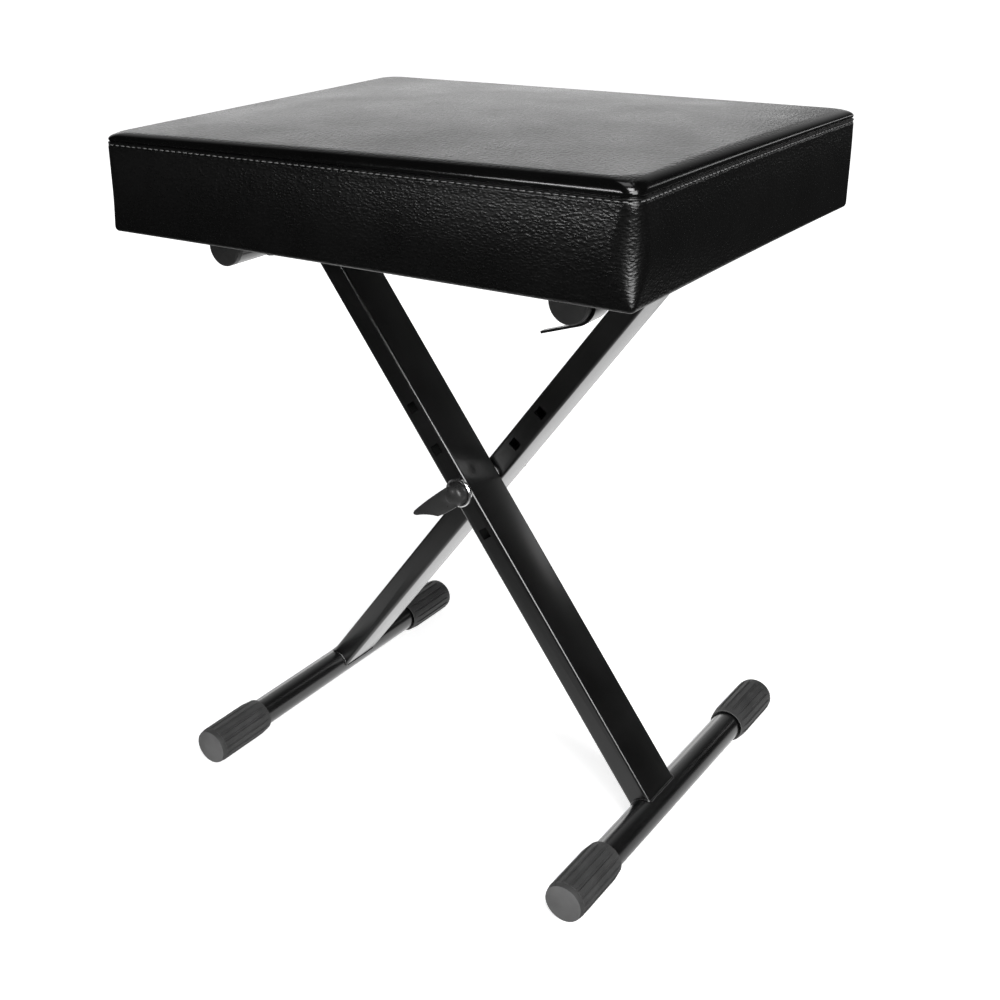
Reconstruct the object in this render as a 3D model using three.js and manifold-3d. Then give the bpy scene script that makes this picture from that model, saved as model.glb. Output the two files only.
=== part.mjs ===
// Folding keyboard bench: two crossed legs of rectangular steel tube, each welded to a round foot
// tube and a round top tube. A padded seat turns on the left top tube and hooks over the right one.
// Millimetres and degrees. +X runs along the seat, +Y to the back and +Z up.
// The origin is on the floor under the middle of the seat.
import * as THREE from 'three';
import { mergeVertices } from 'three/addons/utils/BufferGeometryUtils.js';
import Module from 'manifold-3d';

// Clearances
const fitGap = 0.3;         // between pieces that are seated on each other
const runGap = 0.4;         // round a tube that turns in its bracket
const cutOverrun = 4;       // how far a cut runs past the face it leaves

// Seat cushion
const seatLength = 445;
const seatDepth = 358;
const boxingHeight = 69.8;  // bottom edge to seam
const edgeHeight = 7.2;     // seam to the flat of the top, at its edge
const edgeWidth = 9;        // breadth of the rolled edge
const crownHeight = 5;      // swell of the flat at its middle
const seatCorner = 10.5;    // plan radius of the upright corners at half height
const lowCorner = 4.5;      // and at the bottom edge
const seamCorner = 7;       // and at the seam
const sideDraw = 1.6;       // how far each side is drawn in at its middle
const sideBulge = 1.5;      // how far the side walls swell at half height
const bottomRoll = 2.5;     // rounding of the bottom edge
const rimDrop = 5;          // padded rim below the underside of the board
const rimInset = 10;        // seat edge to the rim's inner side
const seamDepth = 2;        // valley between the boxing and the top panel
const seamWidth = 3;
const hemThickness = 0.9;   // cover turned in under the board
const hemWidth = 18;

// Seat board and dust cover
const boardThickness = 12;
const boardInset = 8;       // foam and cover outside the board's edge
const boardCorner = 10;
const dustInset = 1.5;      // dust cover short of the hem's inner edge

// Legs
const legLean = 36.5;       // degrees from upright
const footSpread = 178;     // pivot to a foot tube's axis, along X
const legWidth = 20;
const legDepth = 43;
const legWall = 1.5;
const legCorner = 2.4;
const legInnerCorner = 0.9;
const legSpace = 1.5;       // between the two legs
const holePitch = 39.3;     // height adjustment holes
const holesAbovePivot = 2;
const holesBelowPivot = 1;

// Top tubes and their plugs
const topTube = 30;
const topTubeWall = 1.5;
const hingeInset = 80.5;    // left end of the seat to the hinge tube's axis
const catchInset = 64.5;    // right end of the seat to the catch tube's axis
const topTubeSetback = 36.5; // seat edge to the outside of the plug
const plugFlange = 5;
const plugBevel = 0.9;
const plugStub = 15;

// Foot tubes and their ribbed caps
const footTube = 25;
const footTubeWall = 1.5;
const footLength = 352;     // over both caps
const capDiameter = 32;
const capLength = 64;
const capEnd = 4;
const capRibs = 16;
const capCrestShare = 0.55; // share of a rib's pitch that its crest takes
const capRibDepth = 1.1;
const capCollar = 5;        // smooth band next to the closed end
const capCollarDrop = 0.5;  // collar below the rib crests
const capRound = 2;
const capTaper = 10;        // length that thins towards the open mouth
const capTaperDrop = 1.2;
const capMouthDepth = 3;    // wider mouth at the open end
const capMouthGap = 1.5;    // round the tube there

// Pivot bolt, washers and clamp lever
const boltDiameter = 7.8;
const neckSize = 8;         // square neck under the head
const neckLength = 5;
const boltHead = 20;
const boltHeadHeight = 4.6;
const boltTipBevel = 0.8;
const boltReach = 11;       // into the lever's hub
const spacerDiameter = 17;
const cupDiameter = 24.5;
const cupFloor = 1.3;
const cupWall = 2.6;
const cupHeight = 4.2;
const hubHeight = 13.4;
const hubDome = 5;
const insertWidth = 13;     // across the flats
const insertLength = 8;
const bladeLength = 45;     // hub axis to tip
const bladeRoot = 18;       // breadth at the hub
const bladeBelly = 10;      // breadth below the axis at the widest place
const bladeTip = 4.4;
const bladeThickness = 6.4;
const bladeBevel = 0.9;
const bladeRise = 5.8;      // hub base to the blade's back face
const leverDrop = 32.4;     // degrees below level, to the left

// Seat brackets and screws
const strapThickness = 1.8;
const strapWidth = 20;
const hookSetback = 1.5;    // plug to the hook's edge
const saddleSetback = 46;   // plug to the saddle's edge
const saddleFlange = 15;
const hookFlange = 27;
const hookLip = 30;
const hookLipWidth = 6;     // along the tube, at the strap's outer edge
const hookLipSlope = 18;    // degrees below level
const screwShank = 4.4;
const screwHead = 9;
const screwHeadHeight = 2.8;
const screwBite = 9;        // shank inside the board
const screwEdge = 7.5;      // strap wall to the first screw
const screwPitch = 12;      // between the two screws of a hook
const crossWidth = 1.2;     // cross recess in a screw head
const crossLength = 5;
const crossDepth = 1.3;

// Facet counts
const tubeSides = 32;
const smallSides = 12;
const cornerSteps = 3;
const domeSteps = 5;

// Places that follow from the sizes above
const radians = Math.PI / 180;
const lean = legLean * radians;
const topSpread = (seatLength - hingeInset - catchInset) / 2;
const frameShift = (hingeInset - catchInset) / 2;
const upperLeg = topSpread / Math.sin(lean);
const lowerLeg = footSpread / Math.sin(lean);
const capRadius = capDiameter / 2;
const capPitch = 2 * Math.PI / capRibs;
const footHeight = capRadius * Math.cos(capPitch * capCrestShare / 2);
const pivotHeight = footHeight + footSpread / Math.tan(lean);
const topHeight = pivotHeight + topSpread / Math.tan(lean);
const seatUnderside = topHeight + topTube / 2 + fitGap;
const rimHeight = seatUnderside - rimDrop;
const seamHeight = rimHeight + boxingHeight;
const boardBottom = seatUnderside + hemThickness + fitGap;
const legOffset = (legSpace + legDepth) / 2;
const holeSize = neckSize + 2 * fitGap;
const topTubeLength = seatDepth - 2 * (topTubeSetback + plugFlange + fitGap);
const footTubeLength = footLength - 2 * (capEnd + fitGap);
const strapEnd = seatDepth / 2 - topTubeSetback - plugFlange - strapWidth / 2;
const hookMiddle = strapEnd - hookSetback;
const saddleMiddle = strapEnd - saddleSetback;
const strapInside = topTube / 2 + runGap;
const strapOutside = strapInside + strapThickness;
const strapTop = topTube / 2;
const screwHole = screwShank + 2 * fitGap;

const leatherette = finish(0x0b0b0c, 0.42, 0);
const plywood = finish(0x9a7b52, 0.8, 0);
const dustCloth = finish(0x1b1b1c, 0.95, 0);
const paintedSteel = finish(0x1c1c1d, 0.38, 0.2);
const blackPlastic = finish(0x202021, 0.45, 0);
const rubber = finish(0x3a3a3b, 0.75, 0);
const chrome = finish(0xd8d9db, 0.12, 1);
const zinc = finish(0xa9abad, 0.35, 1);
const nylon = finish(0xdedcd2, 0.6, 0);

const wasm = await Module();
wasm.setup();

function finish(color, roughness, metalness) {
  return new THREE.MeshStandardMaterial({ color, roughness, metalness });
}

function piece(name, geometry, material, parent) {
  const mesh = new THREE.Mesh(geometry, material);
  mesh.name = name;
  parent.add(mesh);
  return mesh;
}

// A closed geometry as a solid that can be joined and cut
function solid(geometry) {
  const bare = geometry.clone();
  bare.deleteAttribute('normal');
  bare.deleteAttribute('uv');
  const merged = mergeVertices(bare);
  const corners = merged.index.array;
  const triVerts = [];
  for (let i = 0; i < corners.length; i += 3) {
    const [a, b, c] = [corners[i], corners[i + 1], corners[i + 2]];
    if (a !== b && b !== c && c !== a) triVerts.push(a, b, c);
  }
  return new wasm.Manifold(new wasm.Mesh({
    numProp: 3,
    vertProperties: merged.attributes.position.array,
    triVerts: new Uint32Array(triVerts),
  }));
}

function skin(body) {
  const mesh = body.getMesh();
  const geometry = new THREE.BufferGeometry();
  geometry.setAttribute('position', new THREE.BufferAttribute(mesh.vertProperties, 3));
  geometry.setIndex(new THREE.BufferAttribute(mesh.triVerts, 1));
  return geometry;
}

function cut(geometry, ...tools) {
  return skin(tools.reduce((body, tool) => body.subtract(solid(tool)), solid(geometry)));
}

function join(geometry, ...others) {
  return skin(others.reduce((body, other) => body.add(solid(other)), solid(geometry)));
}

// Revolves a profile of [radius, height] pairs round the Y axis
function turned(profile, sides) {
  const points = profile.map(([radius, height]) => new THREE.Vector2(radius, height));
  return new THREE.LatheGeometry(points, sides);
}

function pipe(outer, wall, length) {
  const [inside, outside, end] = [outer / 2 - wall, outer / 2, length / 2];
  const profile = [[inside, -end], [outside, -end], [outside, end], [inside, end], [inside, -end]];
  return turned(profile, tubeSides);
}

function rod(diameter, length, sides) {
  return new THREE.CylinderGeometry(diameter / 2, diameter / 2, length, sides);
}

// A shape drawn in X and Z, made thick along Y and centred on it
function plate(shape, thickness) {
  const geometry = new THREE.ExtrudeGeometry(shape, {
    depth: thickness, bevelEnabled: false, curveSegments: 2 * cornerSteps,
  });
  return geometry.rotateX(Math.PI / 2).translate(0, thickness / 2, 0);
}

// A shape drawn in plan, made thick upwards
function slab(shape, thickness) {
  return new THREE.ExtrudeGeometry(shape, {
    depth: thickness, bevelEnabled: false, curveSegments: cornerSteps,
  });
}

function roundedRect(width, depth, radius) {
  const [x, y, quarter] = [width / 2 - radius, depth / 2 - radius, Math.PI / 2];
  const shape = new THREE.Shape();
  shape.absarc(x, y, radius, 0, quarter);
  shape.absarc(-x, y, radius, quarter, 2 * quarter);
  shape.absarc(-x, -y, radius, 2 * quarter, 3 * quarter);
  shape.absarc(x, -y, radius, 3 * quarter, 4 * quarter);
  return shape;
}

function circle(diameter, x, y) {
  const path = new THREE.Path().absarc(x, y, diameter / 2, 0, 2 * Math.PI);
  return new THREE.Path(path.getPoints(smallSides / 2).slice(0, -1));
}

// Rectangular leg tube along Z with the pivot at its origin, its ends coped over the round tubes
function legGeometry() {
  const section = roundedRect(legWidth, legDepth, legCorner);
  section.holes.push(roundedRect(legWidth - 2 * legWall, legDepth - 2 * legWall, legInnerCorner));
  const tube = slab(section, lowerLeg + upperLeg).translate(0, 0, -lowerLeg);
  const cutLength = legDepth + 2 * cutOverrun;
  const cuts = [
    rod(footTube + 2 * fitGap, cutLength, tubeSides).translate(0, 0, -lowerLeg),
    rod(topTube + 2 * fitGap, cutLength, tubeSides).translate(0, 0, upperLeg),
  ];
  for (let hole = -holesBelowPivot; hole <= holesAbovePivot; hole += 1) {
    cuts.push(new THREE.BoxGeometry(holeSize, cutLength, holeSize).translate(0, 0, hole * holePitch));
  }
  return cut(tube, ...cuts);
}

// Flanged plug for a top tube, its flange towards +Y and its back face at Y = 0
function plugGeometry() {
  const [rim, stub] = [topTube / 2, topTube / 2 - topTubeWall - fitGap];
  return turned([
    [0, -plugStub], [stub, -plugStub], [stub, 0],
    [rim, 0], [rim, plugFlange - plugBevel], [rim - plugBevel, plugFlange], [0, plugFlange],
  ], tubeSides);
}

// Outline of the ribbed sleeve, with one rib crest level at the bottom of the bench
function ribOutline() {
  const groove = capRadius - capRibDepth;
  const crestHalf = capPitch * capCrestShare / 2;
  const grooveHalf = capPitch * (1 - capCrestShare) / 4;
  const shape = new THREE.Shape();
  for (let rib = 0; rib < capRibs; rib += 1) {
    const crest = Math.PI / 2 + rib * capPitch;
    const valley = crest + capPitch / 2;
    const corners = [
      [capRadius, crest - crestHalf], [capRadius, crest + crestHalf],
      [groove, valley - grooveHalf], [groove, valley + grooveHalf],
    ];
    for (const [radius, angle] of corners) {
      const [x, y] = [radius * Math.cos(angle), radius * Math.sin(angle)];
      if (shape.curves.length === 0 && shape.currentPoint.length() === 0) shape.moveTo(x, y);
      else shape.lineTo(x, y);
    }
  }
  shape.closePath();
  return shape;
}

// Foot cap with its open mouth at Y = 0 and its closed end towards +Y
function capGeometry() {
  const collar = capRadius - capCollarDrop;
  const collarStart = capLength - capCollar;
  const sleeve = slab(ribOutline(), collarStart).rotateX(-Math.PI / 2);
  const end = turned([
    [0, collarStart - capRound], [collar, collarStart - capRound],
    [collar, capLength - capRound], [collar - capRound / 4, capLength - capRound / 4],
    [collar - capRound, capLength], [0, capLength],
  ], tubeSides);
  const boreLength = capLength - capEnd + cutOverrun;
  const bore = rod(footTube + 2 * fitGap, boreLength, tubeSides);
  const [thin, outside] = [capRadius - capTaperDrop, capRadius + cutOverrun];
  const taper = turned([
    [thin, -cutOverrun], [outside, -cutOverrun], [outside, capTaper], [capRadius, capTaper],
    [thin, 0], [thin, -cutOverrun],
  ], tubeSides);
  bore.translate(0, boreLength / 2 - cutOverrun, 0);
  const mouthLength = capMouthDepth + cutOverrun;
  const mouth = rod(footTube + 2 * capMouthGap, mouthLength, tubeSides);
  mouth.translate(0, mouthLength / 2 - cutOverrun, 0);
  return cut(join(sleeve, end), bore, mouth, taper);
}

// Round-headed bolt with a square neck, the underside of its head at Y = 0 and its tip to the front
function boltGeometry(length) {
  const [shank, head] = [boltDiameter / 2, boltHead / 2];
  const profile = [[0, -length], [shank - boltTipBevel, -length], [shank, boltTipBevel - length], [shank, 0]];
  for (let step = 0; step <= domeSteps; step += 1) {
    const angle = step / domeSteps * Math.PI / 2;
    profile.push([head * Math.cos(angle), boltHeadHeight * Math.sin(angle)]);
  }
  profile.at(-1)[0] = 0;
  const neck = new THREE.BoxGeometry(neckSize, neckLength, neckSize).translate(0, -neckLength / 2, 0);
  return join(turned(profile, smallSides), neck);
}

// Dished washer, its flat back at Y = 0 and its rim towards the front
function cupGeometry() {
  const [bore, rim] = [holeSize / 2, cupDiameter / 2];
  const lip = cupWall / 3;
  return turned([
    [bore, -cupFloor], [rim - cupWall, -cupFloor], [rim - cupWall, lip - cupHeight],
    [rim - cupWall + lip, -cupHeight], [rim - lip, -cupHeight], [rim, lip - cupHeight],
    [rim, -cupFloor], [rim - cupFloor, 0], [bore, 0], [bore, -cupFloor],
  ], tubeSides);
}

function spacerGeometry() {
  const [bore, rim, half] = [holeSize / 2, spacerDiameter / 2, legSpace / 2 - fitGap];
  return turned([[bore, -half], [rim, -half], [rim, half], [bore, half], [bore, -half]], tubeSides);
}

function hexagon(acrossFlats) {
  const radius = acrossFlats / Math.sqrt(3);
  const corners = [];
  for (let side = 0; side < 6; side += 1) {
    const angle = side * Math.PI / 3;
    corners.push(new THREE.Vector2(radius * Math.cos(angle), radius * Math.sin(angle)));
  }
  return new THREE.Shape(corners);
}

function insertGeometry() {
  const shape = hexagon(insertWidth);
  shape.holes.push(circle(boltDiameter + 2 * fitGap, 0, 0));
  return plate(shape, insertLength);
}

// Outline of the lever's blade: X runs to the tip and Z to the side of the belly
function bladeOutline() {
  const lengthShares = { shoulder: 0.34, back: 0.5, belly: 0.5, nose: 0.7 };
  const [backShare, noseShare, shoulderShare] = [0.75, 0.45, 1.1];
  const [root, tip] = [bladeRoot / 2, bladeTip / 2];
  const [shoulder, back] = [bladeLength * lengthShares.shoulder, bladeLength * lengthShares.back];
  const [belly, nose] = [bladeLength * lengthShares.belly, bladeLength * lengthShares.nose];
  const shape = new THREE.Shape();
  shape.moveTo(0, -root);
  shape.quadraticCurveTo(back, -root * backShare, bladeLength - tip, -tip);
  shape.quadraticCurveTo(bladeLength + tip, 0, bladeLength - tip, tip);
  shape.quadraticCurveTo(nose, bladeBelly * noseShare, belly, bladeBelly);
  shape.quadraticCurveTo(shoulder, bladeBelly * shoulderShare, 0, root);
  shape.closePath();
  return shape;
}

// Clamp lever: a domed hub round the bolt with one blade, its back at Y = 0
function leverGeometry() {
  const hub = cupDiameter / 2 - cupWall - runGap;
  const profile = [];
  for (let step = 0; step <= domeSteps; step += 1) {
    const angle = step / domeSteps * Math.PI / 2;
    profile.push([hub * Math.sin(angle), hubDome - hubHeight - hubDome * Math.cos(angle)]);
  }
  profile.push([hub, 0], [0, 0]);
  const blade = new THREE.ExtrudeGeometry(bladeOutline(), {
    depth: bladeThickness - 2 * bladeBevel, bevelSize: bladeBevel, bevelOffset: -bladeBevel,
    bevelThickness: bladeBevel, bevelSegments: 2, curveSegments: 2 * cornerSteps,
  });
  blade.rotateX(Math.PI / 2).translate(0, -bladeRise - bladeBevel, 0);
  const pocketDepth = insertLength + fitGap;
  const pocket = plate(hexagon(insertWidth + 2 * fitGap), pocketDepth + cutOverrun);
  pocket.translate(0, (cutOverrun - pocketDepth) / 2, 0);
  const boltDepth = boltReach + fitGap;
  const boltRoom = rod(boltDiameter + 2 * fitGap, boltDepth + cutOverrun, smallSides);
  boltRoom.translate(0, (cutOverrun - boltDepth) / 2, 0);
  return cut(join(turned(profile, tubeSides), blade), pocket, boltRoom);
}

// Saddle strap round a top tube, drawn round the tube's axis
function saddleGeometry() {
  const end = strapOutside + saddleFlange;
  const shape = new THREE.Shape();
  shape.moveTo(end, strapTop);
  shape.lineTo(strapInside, strapTop);
  shape.absarc(0, 0, strapInside, 0, -Math.PI, true);
  shape.lineTo(-strapInside, strapTop);
  shape.lineTo(-end, strapTop);
  shape.lineTo(-end, strapTop - strapThickness);
  shape.lineTo(-strapOutside, strapTop - strapThickness);
  shape.absarc(0, 0, strapOutside, -Math.PI, 0, false);
  shape.lineTo(strapOutside, strapTop - strapThickness);
  shape.lineTo(end, strapTop - strapThickness);
  shape.closePath();
  const holes = [-1, 1].map((side) => strapScrewHole(side * (strapOutside + screwEdge)));
  return cut(plate(shape, strapWidth), ...holes);
}

// J-shaped catch, open to the middle of the bench, drawn round the axis of the tube it catches. Its
// narrow lip lies at the strap's outer edge, on the side of Y that sign gives.
function hookGeometry(sign) {
  const end = strapOutside + hookFlange;
  const slope = hookLipSlope * radians;
  const turn = slope - Math.PI / 2;
  const along = new THREE.Vector2(-Math.cos(slope), -Math.sin(slope));
  const inside = new THREE.Vector2(Math.cos(turn), Math.sin(turn)).multiplyScalar(strapInside);
  const outside = inside.clone().multiplyScalar(strapOutside / strapInside);
  const shape = new THREE.Shape();
  shape.moveTo(end, strapTop);
  shape.lineTo(strapInside, strapTop);
  shape.absarc(0, 0, strapInside, 0, turn, true);
  shape.lineTo(outside.x, outside.y);
  shape.absarc(0, 0, strapOutside, turn, 0, false);
  shape.lineTo(strapOutside, strapTop - strapThickness);
  shape.lineTo(end, strapTop - strapThickness);
  shape.closePath();
  const [root, tip] = [-strapThickness / 2, hookLip];
  const corners = [[inside, root], [inside, tip], [outside, tip], [outside, root]];
  const lip = plate(new THREE.Shape(
    corners.map(([from, reach]) => from.clone().addScaledVector(along, reach)),
  ), hookLipWidth).translate(0, sign * (strapWidth - hookLipWidth) / 2, 0);
  const holes = [0, 1].map((row) => strapScrewHole(strapOutside + screwEdge + row * screwPitch));
  return cut(join(plate(shape, strapWidth), lip), ...holes);
}

function strapScrewHole(x) {
  const hole = rod(screwHole, 2 * strapThickness, smallSides).rotateX(Math.PI / 2);
  return hole.translate(x, 0, strapTop - strapThickness / 2);
}

// Pan-head screw pointing up, with a cross recess, the seat of its head at Z = 0
function screwGeometry() {
  const [shank, head] = [screwShank / 2, screwHead / 2];
  const length = fitGap + strapThickness + boardBottom - seatUnderside + fitGap + screwBite;
  const panShares = [[0, 1], [0.6, 0.95], [0.9, 0.65], [1, 0]];
  const pan = panShares.map(([across, high]) => [head * across, -screwHeadHeight * high]);
  const tip = [[shank, 0], [shank, length - shank], [0, length]];
  const screw = turned([...pan, ...tip], smallSides).rotateX(Math.PI / 2);
  const bars = [[crossLength, crossWidth], [crossWidth, crossLength]].map(([x, y]) => {
    const bar = new THREE.BoxGeometry(x, y, 2 * crossDepth);
    return bar.translate(0, 0, -screwHeadHeight);
  });
  return cut(screw, ...bars);
}

// Plan of the cushion, drawn in between its corners
function seatPlan(inset, corner) {
  const radius = corner - inset;
  const [x, y] = [seatLength / 2 - corner, seatDepth / 2 - corner];
  const [endX, endY] = [x + radius - 2 * sideDraw, y + radius - 2 * sideDraw];
  const quarter = Math.PI / 2;
  const shape = new THREE.Shape();
  shape.absarc(x, y, radius, 0, quarter);
  shape.quadraticCurveTo(0, endY, -x, y + radius);
  shape.absarc(-x, y, radius, quarter, 2 * quarter);
  shape.quadraticCurveTo(-endX, 0, -x - radius, -y);
  shape.absarc(-x, -y, radius, 2 * quarter, 3 * quarter);
  shape.quadraticCurveTo(0, -endY, x, -y - radius);
  shape.absarc(x, -y, radius, 3 * quarter, 4 * quarter);
  shape.quadraticCurveTo(endX, 0, x + radius, y);
  return shape.getPoints(cornerSteps).slice(0, -1);
}

// A closed skin over a stack of rings with equal numbers of points, the lowest ring first
function loft(rings, bottom, top) {
  const count = rings[0].length;
  const last = (rings.length - 1) * count;
  const points = [...rings.flat(), bottom, top];
  const [under, over] = [points.length - 2, points.length - 1];
  const faces = [];
  for (let i = 0; i < count; i += 1) {
    const next = (i + 1) % count;
    faces.push(under, next, i, over, last + i, last + next);
    for (let start = 0; start < last; start += count) {
      faces.push(start + i, start + next, start + count + next);
      faces.push(start + i, start + count + next, start + count + i);
    }
  }
  const geometry = new THREE.BufferGeometry().setFromPoints(points);
  geometry.setIndex(faces);
  return geometry;
}

// Height of the top panel over the seam, at a place and a distance from the panel's edge
function panelHeight(point, distance) {
  const roll = 1 - Math.min(1, distance / edgeWidth);
  const [along, across] = [2 * point.x / seatLength, 2 * point.y / seatDepth];
  return edgeHeight * Math.sqrt(1 - roll ** 2) + crownHeight * (1 - along ** 2) * (1 - across ** 2);
}

// Boxed cushion with a crowned top, its seam a valley round the top edge, and room for the board
function cushionGeometry() {
  const rollShares = [0, 0.02, 0.08, 0.18, 0.32, 0.5, 0.72, 1];
  const flatShares = [0.8, 0.55, 0.3];
  const ring = (inset, height, corner) => seatPlan(inset, corner).map(
    (point) => new THREE.Vector3(point.x, point.y, height),
  );
  const rings = [
    ring(bottomRoll, rimHeight, lowCorner),
    ring(bottomRoll / 4, rimHeight + bottomRoll / 2, lowCorner),
    ring(0, rimHeight + 2 * bottomRoll, (lowCorner + seatCorner) / 2),
    ring(-sideBulge, rimHeight + boxingHeight / 2, seatCorner),
    ring(0, seamHeight - seamWidth, seamCorner),
    ring(seamDepth / 2, seamHeight - seamWidth / 2, seamCorner),
    ring(seamDepth, seamHeight - seamWidth / 2, seamCorner),
  ];
  const onTop = (point, distance, share = 1) => {
    const [x, y] = [point.x * share, point.y * share];
    return new THREE.Vector3(x, y, seamHeight + panelHeight({ x, y }, distance));
  };
  for (const share of rollShares) {
    const distance = share * edgeWidth;
    const plan = seatPlan(seamDepth / 4 + distance, seamCorner + 2 * distance);
    rings.push(plan.map((point) => onTop(point, distance)));
  }
  const flat = seatPlan(seamDepth / 4 + edgeWidth, seamCorner + 2 * edgeWidth);
  for (const share of flatShares) rings.push(flat.map((point) => onTop(point, edgeWidth, share)));
  const crownTop = seamHeight + edgeHeight + crownHeight;
  const form = loft(rings, new THREE.Vector3(0, 0, rimHeight), new THREE.Vector3(0, 0, crownTop));
  const pocket = slab(boardPlan(boardInset - fitGap), boardThickness + 2 * fitGap);
  const opening = slab(boardPlan(hemWidth), boardBottom - seatUnderside + cutOverrun);
  const recess = slab(boardPlan(rimInset), rimDrop + cutOverrun);
  pocket.translate(0, 0, boardBottom - fitGap);
  opening.translate(0, 0, seatUnderside - cutOverrun);
  recess.translate(0, 0, rimHeight - cutOverrun);
  return cut(form, pocket, opening, recess);
}

function boardPlan(inset) {
  return roundedRect(seatLength - 2 * inset, seatDepth - 2 * inset, boardCorner);
}

// Screw places under the seat: [name, x, y]
function screwPlaces() {
  const first = strapOutside + screwEdge;
  return [['front', -1], ['back', 1]].flatMap(([end, sign]) => [
    [`saddle_screw_${end}_outer`, frameShift - topSpread - first, sign * saddleMiddle],
    [`saddle_screw_${end}_inner`, frameShift - topSpread + first, sign * saddleMiddle],
    [`hook_screw_${end}_inner`, frameShift + topSpread + first, sign * hookMiddle],
    [`hook_screw_${end}_outer`, frameShift + topSpread + first + screwPitch, sign * hookMiddle],
  ]);
}

function holedSheet(shape, thickness) {
  for (const [, x, y] of screwPlaces()) shape.holes.push(circle(screwHole, x, y));
  return slab(shape, thickness);
}

// One leg with its foot tube, top tube, plugs and caps. Side is 1 where its foot is on the right.
function addFrame(bench, side, names) {
  const leg = piece(names.leg, legGeometry(), paintedSteel, bench);
  leg.position.set(0, -side * legOffset, pivotHeight);
  leg.rotation.y = -side * lean;

  const foot = piece(names.foot, pipe(footTube, footTubeWall, footTubeLength), paintedSteel, bench);
  foot.position.set(side * footSpread, 0, footHeight);
  const top = piece(names.top, pipe(topTube, topTubeWall, topTubeLength), paintedSteel, bench);
  top.position.set(-side * topSpread, 0, topHeight);

  for (const [end, sign] of [['front', -1], ['back', 1]]) {
    const cap = piece(`${names.foot}_cap_${end}`, capGeometry(), rubber, bench);
    cap.position.set(side * footSpread, sign * (footLength / 2 - capLength), footHeight);
    cap.rotation.z = sign < 0 ? Math.PI : 0;
    const plug = piece(`${names.top}_plug_${end}`, plugGeometry(), blackPlastic, bench);
    plug.position.set(-side * topSpread, sign * (topTubeLength / 2 + fitGap), topHeight);
    plug.rotation.z = sign < 0 ? Math.PI : 0;
  }
}

function addPivot(bench) {
  const pivot = new THREE.Group();
  pivot.position.z = pivotHeight;
  bench.add(pivot);

  const legBack = legSpace / 2 + legDepth;
  const cupBack = -legBack - fitGap;
  const leverBack = cupBack - cupFloor - fitGap;
  const boltLength = legBack + fitGap - leverBack + boltReach;
  const bolt = piece('pivot_bolt', boltGeometry(boltLength), zinc, pivot);
  bolt.position.y = legBack + fitGap;
  bolt.rotation.y = lean;
  piece('pivot_spacer', spacerGeometry(), nylon, pivot);
  piece('cup_washer', cupGeometry(), chrome, pivot).position.y = cupBack;

  const lever = new THREE.Group();
  lever.position.y = leverBack;
  lever.rotation.y = Math.PI - leverDrop * radians;
  pivot.add(lever);
  piece('clamp_lever', leverGeometry(), blackPlastic, lever);
  piece('lever_insert', insertGeometry(), zinc, lever).position.y = -insertLength / 2;
}

function addSeat(bench) {
  piece('seat_cushion', cushionGeometry(), leatherette, bench);
  const board = piece('seat_board', holedSheet(boardPlan(boardInset), boardThickness), plywood, bench);
  board.position.z = boardBottom;
  const dustPlan = boardPlan(hemWidth + dustInset);
  piece('dust_cover', holedSheet(dustPlan, hemThickness), dustCloth, bench).position.z = seatUnderside;

  for (const [end, sign] of [['front', -1], ['back', 1]]) {
    const saddle = piece(`hinge_saddle_${end}`, saddleGeometry(), paintedSteel, bench);
    saddle.position.set(frameShift - topSpread, sign * saddleMiddle, topHeight);
    const hook = piece(`catch_hook_${end}`, hookGeometry(sign), paintedSteel, bench);
    hook.position.set(frameShift + topSpread, sign * hookMiddle, topHeight);
  }
  for (const [name, x, y] of screwPlaces()) {
    const screw = piece(name, screwGeometry(), zinc, bench);
    screw.position.set(x, y, topHeight + strapTop - strapThickness - fitGap);
  }
}

const bench = new THREE.Group();
const frames = new THREE.Group();
frames.position.x = frameShift;
bench.add(frames);
addFrame(frames, 1, { leg: 'front_leg', foot: 'right_foot', top: 'hinge_tube' });
addFrame(frames, -1, { leg: 'rear_leg', foot: 'left_foot', top: 'catch_tube' });
addPivot(frames);
addSeat(bench);

export default bench;
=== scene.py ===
"""Folding keyboard bench: padded leatherette seat on crossed steel legs, in a white studio.

Everything is in metres in the frame of the CAD part: +X along the seat, +Y to the back, +Z up,
the origin on the floor under the middle of the seat.
"""
import math

import bpy
import bmesh
import numpy as np
from mathutils import Matrix, Vector
from mathutils.kdtree import KDTree


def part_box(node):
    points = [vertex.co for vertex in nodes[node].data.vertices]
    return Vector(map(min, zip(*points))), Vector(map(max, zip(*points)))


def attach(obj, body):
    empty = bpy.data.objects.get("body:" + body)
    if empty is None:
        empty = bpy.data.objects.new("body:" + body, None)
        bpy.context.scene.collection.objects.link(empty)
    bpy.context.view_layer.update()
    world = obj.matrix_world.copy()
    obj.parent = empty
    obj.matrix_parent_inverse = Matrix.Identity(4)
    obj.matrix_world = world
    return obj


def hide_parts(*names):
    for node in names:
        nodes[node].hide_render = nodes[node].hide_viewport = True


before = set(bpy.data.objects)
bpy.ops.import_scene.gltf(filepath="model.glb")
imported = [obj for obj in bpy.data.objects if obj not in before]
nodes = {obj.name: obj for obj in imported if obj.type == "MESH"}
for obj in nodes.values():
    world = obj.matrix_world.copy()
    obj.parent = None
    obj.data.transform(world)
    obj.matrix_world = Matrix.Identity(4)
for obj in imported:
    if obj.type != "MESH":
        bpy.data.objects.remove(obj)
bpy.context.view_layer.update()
scene = bpy.context.scene
scene.view_settings.view_transform = "Standard"
MM = 0.001
SEAT_LENGTH, SEAT_DEPTH = 445 * MM, 358 * MM

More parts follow.
